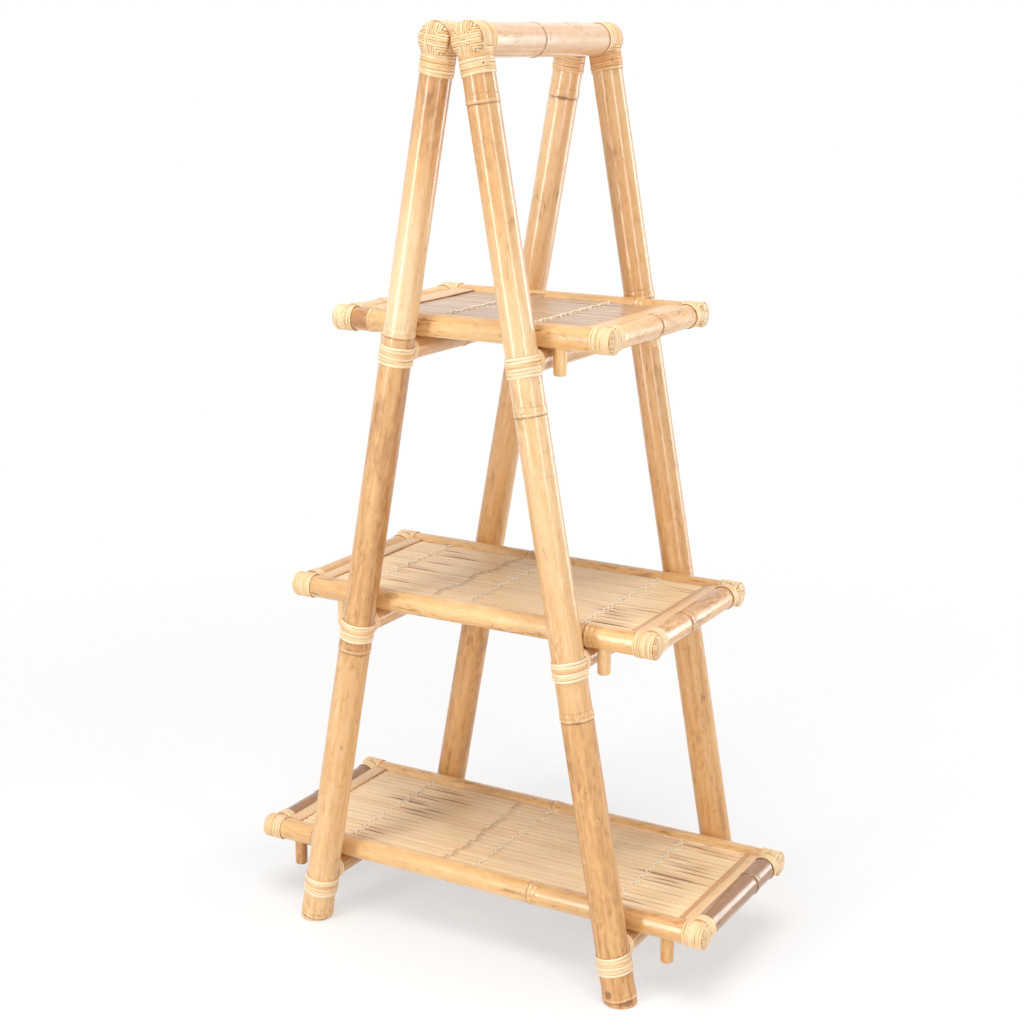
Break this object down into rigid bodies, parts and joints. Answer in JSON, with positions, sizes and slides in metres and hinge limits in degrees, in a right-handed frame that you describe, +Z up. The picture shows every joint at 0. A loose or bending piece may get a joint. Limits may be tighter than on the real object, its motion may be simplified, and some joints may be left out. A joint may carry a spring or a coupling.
{
  "type": "plant ladder stand",
  "caption": "Folding bamboo A-frame plant stand: two ladder frames joined at the top bars, with loose slatted trays resting on the rungs.",
  "frame": {"origin": "centre of the stand's footprint box, on the floor", "axes": "+Z up; X across the spread of the two ladder frames and along the trays, with the folding frame at +X; Y along the rungs, with the front at -Y"},
  "size_m": [0.79, 0.435, 1.3864],
  "materials": {
    "pole_bamboo": "glossy lacquered bamboo culm with node rings",
    "tray_bamboo": "glossy lacquered bamboo culm, slightly darker",
    "slat_bamboo": "satin split bamboo slats",
    "woven_cane": "semi-gloss wound and woven cane",
    "hinge_wood": "plain hardwood"
  },
  "bodies": {
    "left_frame": {"left_back_lower_lashing": "woven_cane", "left_back_middle_lashing": "woven_cane", "left_back_pole": "pole_bamboo", "left_back_top_binding": "woven_cane", "left_back_upper_lashing": "woven_cane", "left_front_lower_lashing": "woven_cane", "left_front_middle_lashing": "woven_cane", "left_front_pole": "pole_bamboo", "left_front_top_binding": "woven_cane", "left_front_upper_lashing": "woven_cane", "left_lower_rung": "pole_bamboo", "left_middle_rung": "pole_bamboo", "left_top_bar": "pole_bamboo", "left_upper_rung": "pole_bamboo"},
    "right_frame": {"back_hinge_toggle": "hinge_wood", "front_hinge_toggle": "hinge_wood", "right_back_lower_lashing": "woven_cane", "right_back_middle_lashing": "woven_cane", "right_back_pole": "pole_bamboo", "right_back_top_binding": "woven_cane", "right_back_upper_lashing": "woven_cane", "right_front_lower_lashing": "woven_cane", "right_front_middle_lashing": "woven_cane", "right_front_pole": "pole_bamboo", "right_front_top_binding": "woven_cane", "right_front_upper_lashing": "woven_cane", "right_lower_rung": "pole_bamboo", "right_middle_rung": "pole_bamboo", "right_top_bar": "pole_bamboo", "right_upper_rung": "pole_bamboo"},
    "upper_tray": {"upper_tray_back_left_binding": "woven_cane", "upper_tray_back_rail": "tray_bamboo", "upper_tray_back_right_binding": "woven_cane", "upper_tray_front_left_binding": "woven_cane", "upper_tray_front_rail": "tray_bamboo", "upper_tray_front_right_binding": "woven_cane", "upper_tray_left_rail": "tray_bamboo", "upper_tray_mat": "slat_bamboo", "upper_tray_right_rail": "tray_bamboo"},
    "middle_tray": {"middle_tray_back_left_binding": "woven_cane", "middle_tray_back_rail": "tray_bamboo", "middle_tray_back_right_binding": "woven_cane", "middle_tray_front_left_binding": "woven_cane", "middle_tray_front_rail": "tray_bamboo", "middle_tray_front_right_binding": "woven_cane", "middle_tray_left_rail": "tray_bamboo", "middle_tray_mat": "slat_bamboo", "middle_tray_right_rail": "tray_bamboo"},
    "lower_tray": {"lower_tray_back_left_binding": "woven_cane", "lower_tray_back_rail": "tray_bamboo", "lower_tray_back_right_binding": "woven_cane", "lower_tray_front_left_binding": "woven_cane", "lower_tray_front_rail": "tray_bamboo", "lower_tray_front_right_binding": "woven_cane", "lower_tray_left_rail": "tray_bamboo", "lower_tray_mat": "slat_bamboo", "lower_tray_right_rail": "tray_bamboo"}
  },
  "joints": [
    {"name": "frames_fold", "type": "hinge", "parent": "left_frame", "child": "right_frame", "pos_m": [-0.01895, 0, 1.361], "axis": [0, 1, 0], "range_deg": [0, 17]},
    {"name": "upper_tray_lift", "type": "slide", "parent": "left_frame", "child": "upper_tray", "axis": [0, 0, 1], "range_m": [0, 0.07]},
    {"name": "middle_tray_lift", "type": "slide", "parent": "left_frame", "child": "middle_tray", "axis": [0, 0, 1], "range_m": [0, 0.07]},
    {"name": "lower_tray_lift", "type": "slide", "parent": "left_frame", "child": "lower_tray", "axis": [0, 0, 1], "range_m": [0, 0.07]}
  ]
}
